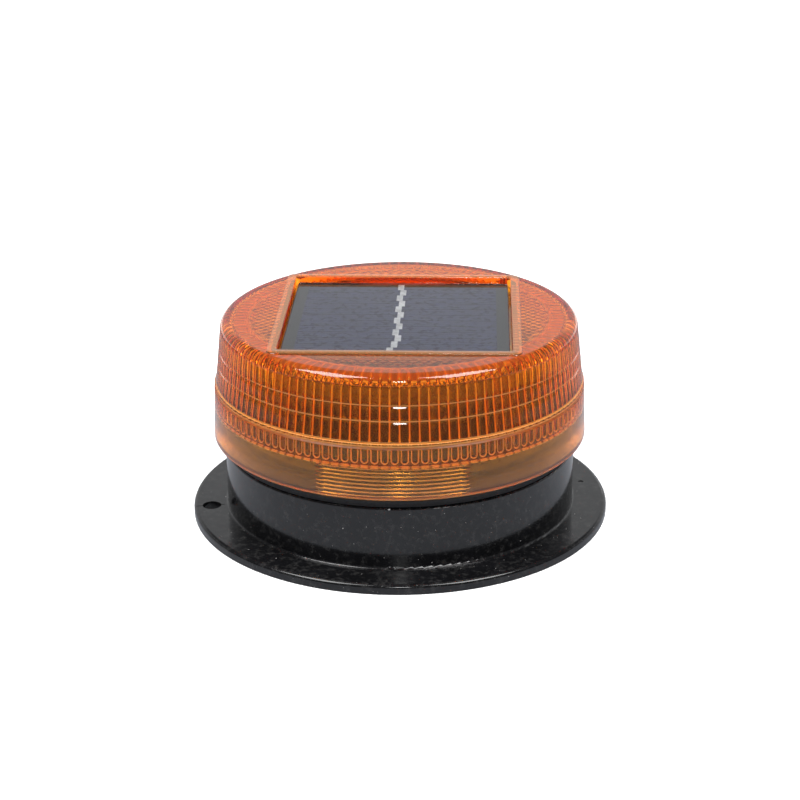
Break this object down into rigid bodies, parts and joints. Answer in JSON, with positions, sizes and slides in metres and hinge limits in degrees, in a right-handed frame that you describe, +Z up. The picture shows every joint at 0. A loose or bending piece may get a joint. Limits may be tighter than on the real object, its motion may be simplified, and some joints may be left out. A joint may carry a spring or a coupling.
{
  "type": "barricade warning light",
  "caption": "Round solar hazard beacon: ribbed amber lens dome with a square solar panel sunk in its flat top, on a glossy black drum base with a wide flat mounting flange.",
  "frame": {"origin": "centre of the base's underside, on the dome's axis", "axes": "+Z up along the dome's axis; the solar panel's sides are parallel to X and Y; -Y is the front, where the lens skirt has its ribbed patch"},
  "size_m": [0.135, 0.135, 0.0663],
  "materials": {
    "base_plastic": "polished black ABS",
    "amber_lens": "clear amber polycarbonate, ribbed inside",
    "seal_rubber": "soft black rubber",
    "steel_screw": "zinc plated steel",
    "foam_tape": "white closed-cell foam tape",
    "board_black": "black solder resist on glass-fibre board",
    "silicon": "dark blue-black silicon",
    "tinned_metal": "tinned copper",
    "clear_resin": "clear cast resin",
    "wire_red": "red PVC insulation",
    "wire_black": "black PVC insulation",
    "connector_white": "natural nylon",
    "board_green": "green solder resist",
    "holder_plastic": "black ABS, fine moulded grain",
    "lamp_epoxy": "yellow tinted clear epoxy",
    "chip_epoxy": "black moulding compound",
    "ferrite": "sintered ferrite",
    "copper": "enamelled copper wire",
    "capacitor_can": "aluminium can",
    "chip_ceramic": "ceramic chip with tinned ends",
    "battery_sleeve": "green shrink sleeve over a steel can",
    "nickel_plate": "nickel plated spring steel",
    "door_plastic": "black ABS",
    "button_plastic": "red ABS",
    "plunger_plastic": "white acetal",
    "switch_plastic": "black nylon"
  },
  "bodies": {
    "housing": {"base_housing": "base_plastic", "lens_dome": "amber_lens", "dome_seal": "seal_rubber", "dome_screws": "steel_screw", "panel_tape": "foam_tape", "panel_board": "board_black", "solar_cells": "silicon", "cell_ribbon": "tinned_metal", "panel_resin": "clear_resin", "panel_lead_red": "wire_red", "panel_lead_black": "wire_black", "panel_socket": "connector_white", "panel_plug": "connector_white", "control_board": "board_green", "board_screws": "steel_screw", "led_holder": "holder_plastic", "holder_screws": "steel_screw", "led_lamps": "lamp_epoxy", "led_leads": "tinned_metal", "control_chip": "chip_epoxy", "charge_coil_core": "ferrite", "charge_coil_winding": "copper", "storage_capacitor": "capacitor_can", "driver_transistors": "chip_epoxy", "chip_resistors": "chip_ceramic", "battery_cells": "battery_sleeve", "contact_springs": "nickel_plate", "contact_bridges": "nickel_plate", "contact_terminals": "nickel_plate", "battery_lead_red": "wire_red", "battery_lead_black": "wire_black", "button_spring": "tinned_metal", "button_seal": "seal_rubber", "power_switch": "switch_plastic", "switch_board": "board_green", "switch_screws": "steel_screw", "switch_leads": "wire_black"},
    "door": {"battery_door": "door_plastic", "door_seal": "seal_rubber", "door_screws": "steel_screw"},
    "button": {"power_button": "button_plastic", "switch_plunger": "plunger_plastic"}
  },
  "joints": [
    {"name": "battery_door_drop", "type": "slide", "parent": "housing", "child": "door", "axis": [0, 0, -1], "range_m": [0, 0.02]},
    {"name": "power_button_press", "type": "slide", "parent": "housing", "child": "button", "axis": [0, 0, 1], "range_m": [0, 0.0016], "stiffness_N_per_m": 350, "springref_m": -0.001, "deforming": ["button_spring"]}
  ]
}
